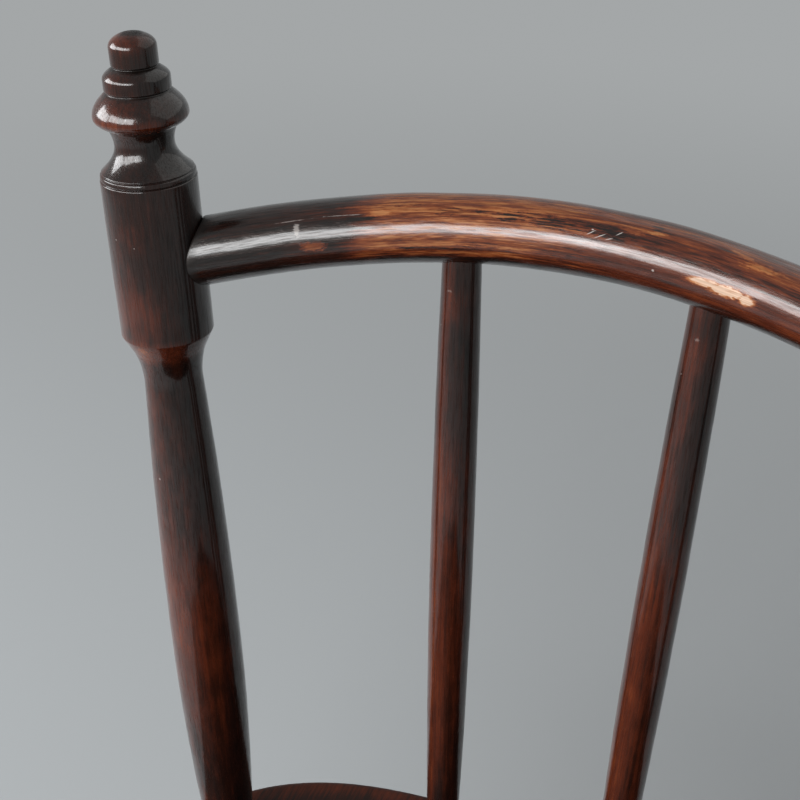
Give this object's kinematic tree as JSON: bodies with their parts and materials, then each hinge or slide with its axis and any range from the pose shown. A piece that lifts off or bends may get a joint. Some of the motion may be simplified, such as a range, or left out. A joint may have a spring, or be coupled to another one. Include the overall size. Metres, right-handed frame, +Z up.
{
  "type": "turned wooden side chair with a worn varnish",
  "caption": "Turned wooden side chair with a bowed round crest rail between finialled posts, slim spindles, a plank seat and splayed legs, its dark varnish rubbed through.",
  "frame": {"origin": "on the floor, under the middle of the whole chair", "axes": "+Z up, the front of the chair faces -Y, +X to the right of someone who looks at the chair from the front"},
  "size_m": [0.4214, 0.4208, 0.8804],
  "materials": {
    "dark_stain": "glossy brown-black stain with reddish grain, rubbed on the edges",
    "rubbed_stain": "glossy brown stain worn through to orange-tan wood in streaks along the grain, with small bare chips",
    "seat_stain": "brown stain worn by sitting, satin"
  },
  "bodies": {
    "root": {"crest_rail": "rubbed_stain", "seat": "seat_stain", "left_back_post": "dark_stain", "right_back_post": "dark_stain", "spindle_1": "dark_stain", "spindle_2": "dark_stain", "front_left_leg": "dark_stain", "front_right_leg": "dark_stain", "back_left_leg": "dark_stain", "back_right_leg": "dark_stain", "front_lower_stretcher": "dark_stain", "front_upper_stretcher": "dark_stain", "left_lower_stretcher": "dark_stain", "left_upper_stretcher": "dark_stain", "right_lower_stretcher": "dark_stain", "right_upper_stretcher": "dark_stain", "back_stretcher": "dark_stain"}
  },
  "joints": []
}
